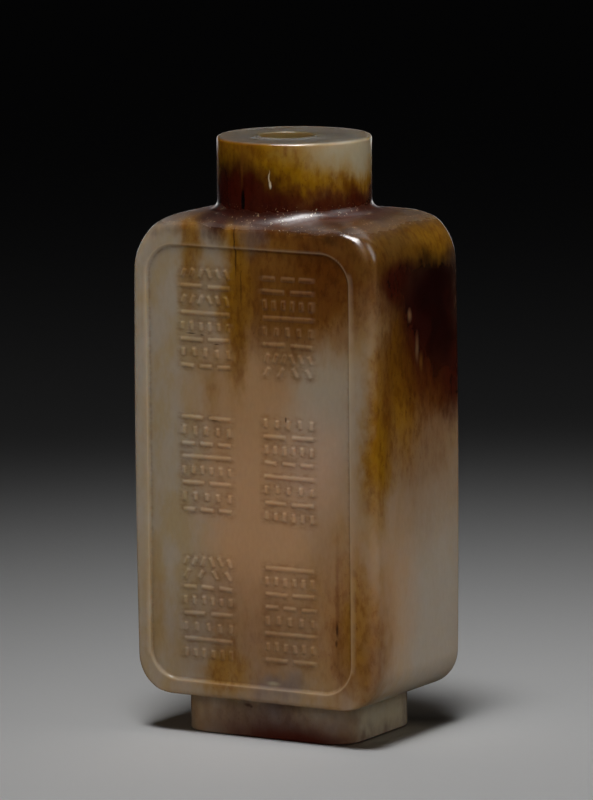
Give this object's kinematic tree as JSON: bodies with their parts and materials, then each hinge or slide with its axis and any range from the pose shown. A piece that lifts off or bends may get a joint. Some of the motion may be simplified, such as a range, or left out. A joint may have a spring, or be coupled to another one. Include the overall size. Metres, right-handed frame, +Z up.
{
  "type": "snuff bottle",
  "caption": "Carved jade snuff bottle: flat oblong body with sunk panels, round neck with a drilled mouth, low oblong foot.",
  "frame": {"origin": "on the surface the bottle stands on, under the middle of its box", "axes": "+Z up out of the mouth, -Y out of the front panel, X across the front"},
  "size_m": [0.0298, 0.0188, 0.064],
  "materials": {
    "jade": "polished, translucent, mottled grey-green to ochre and dark red-brown"
  },
  "bodies": {
    "root": {"bottle": "jade"}
  },
  "joints": []
}
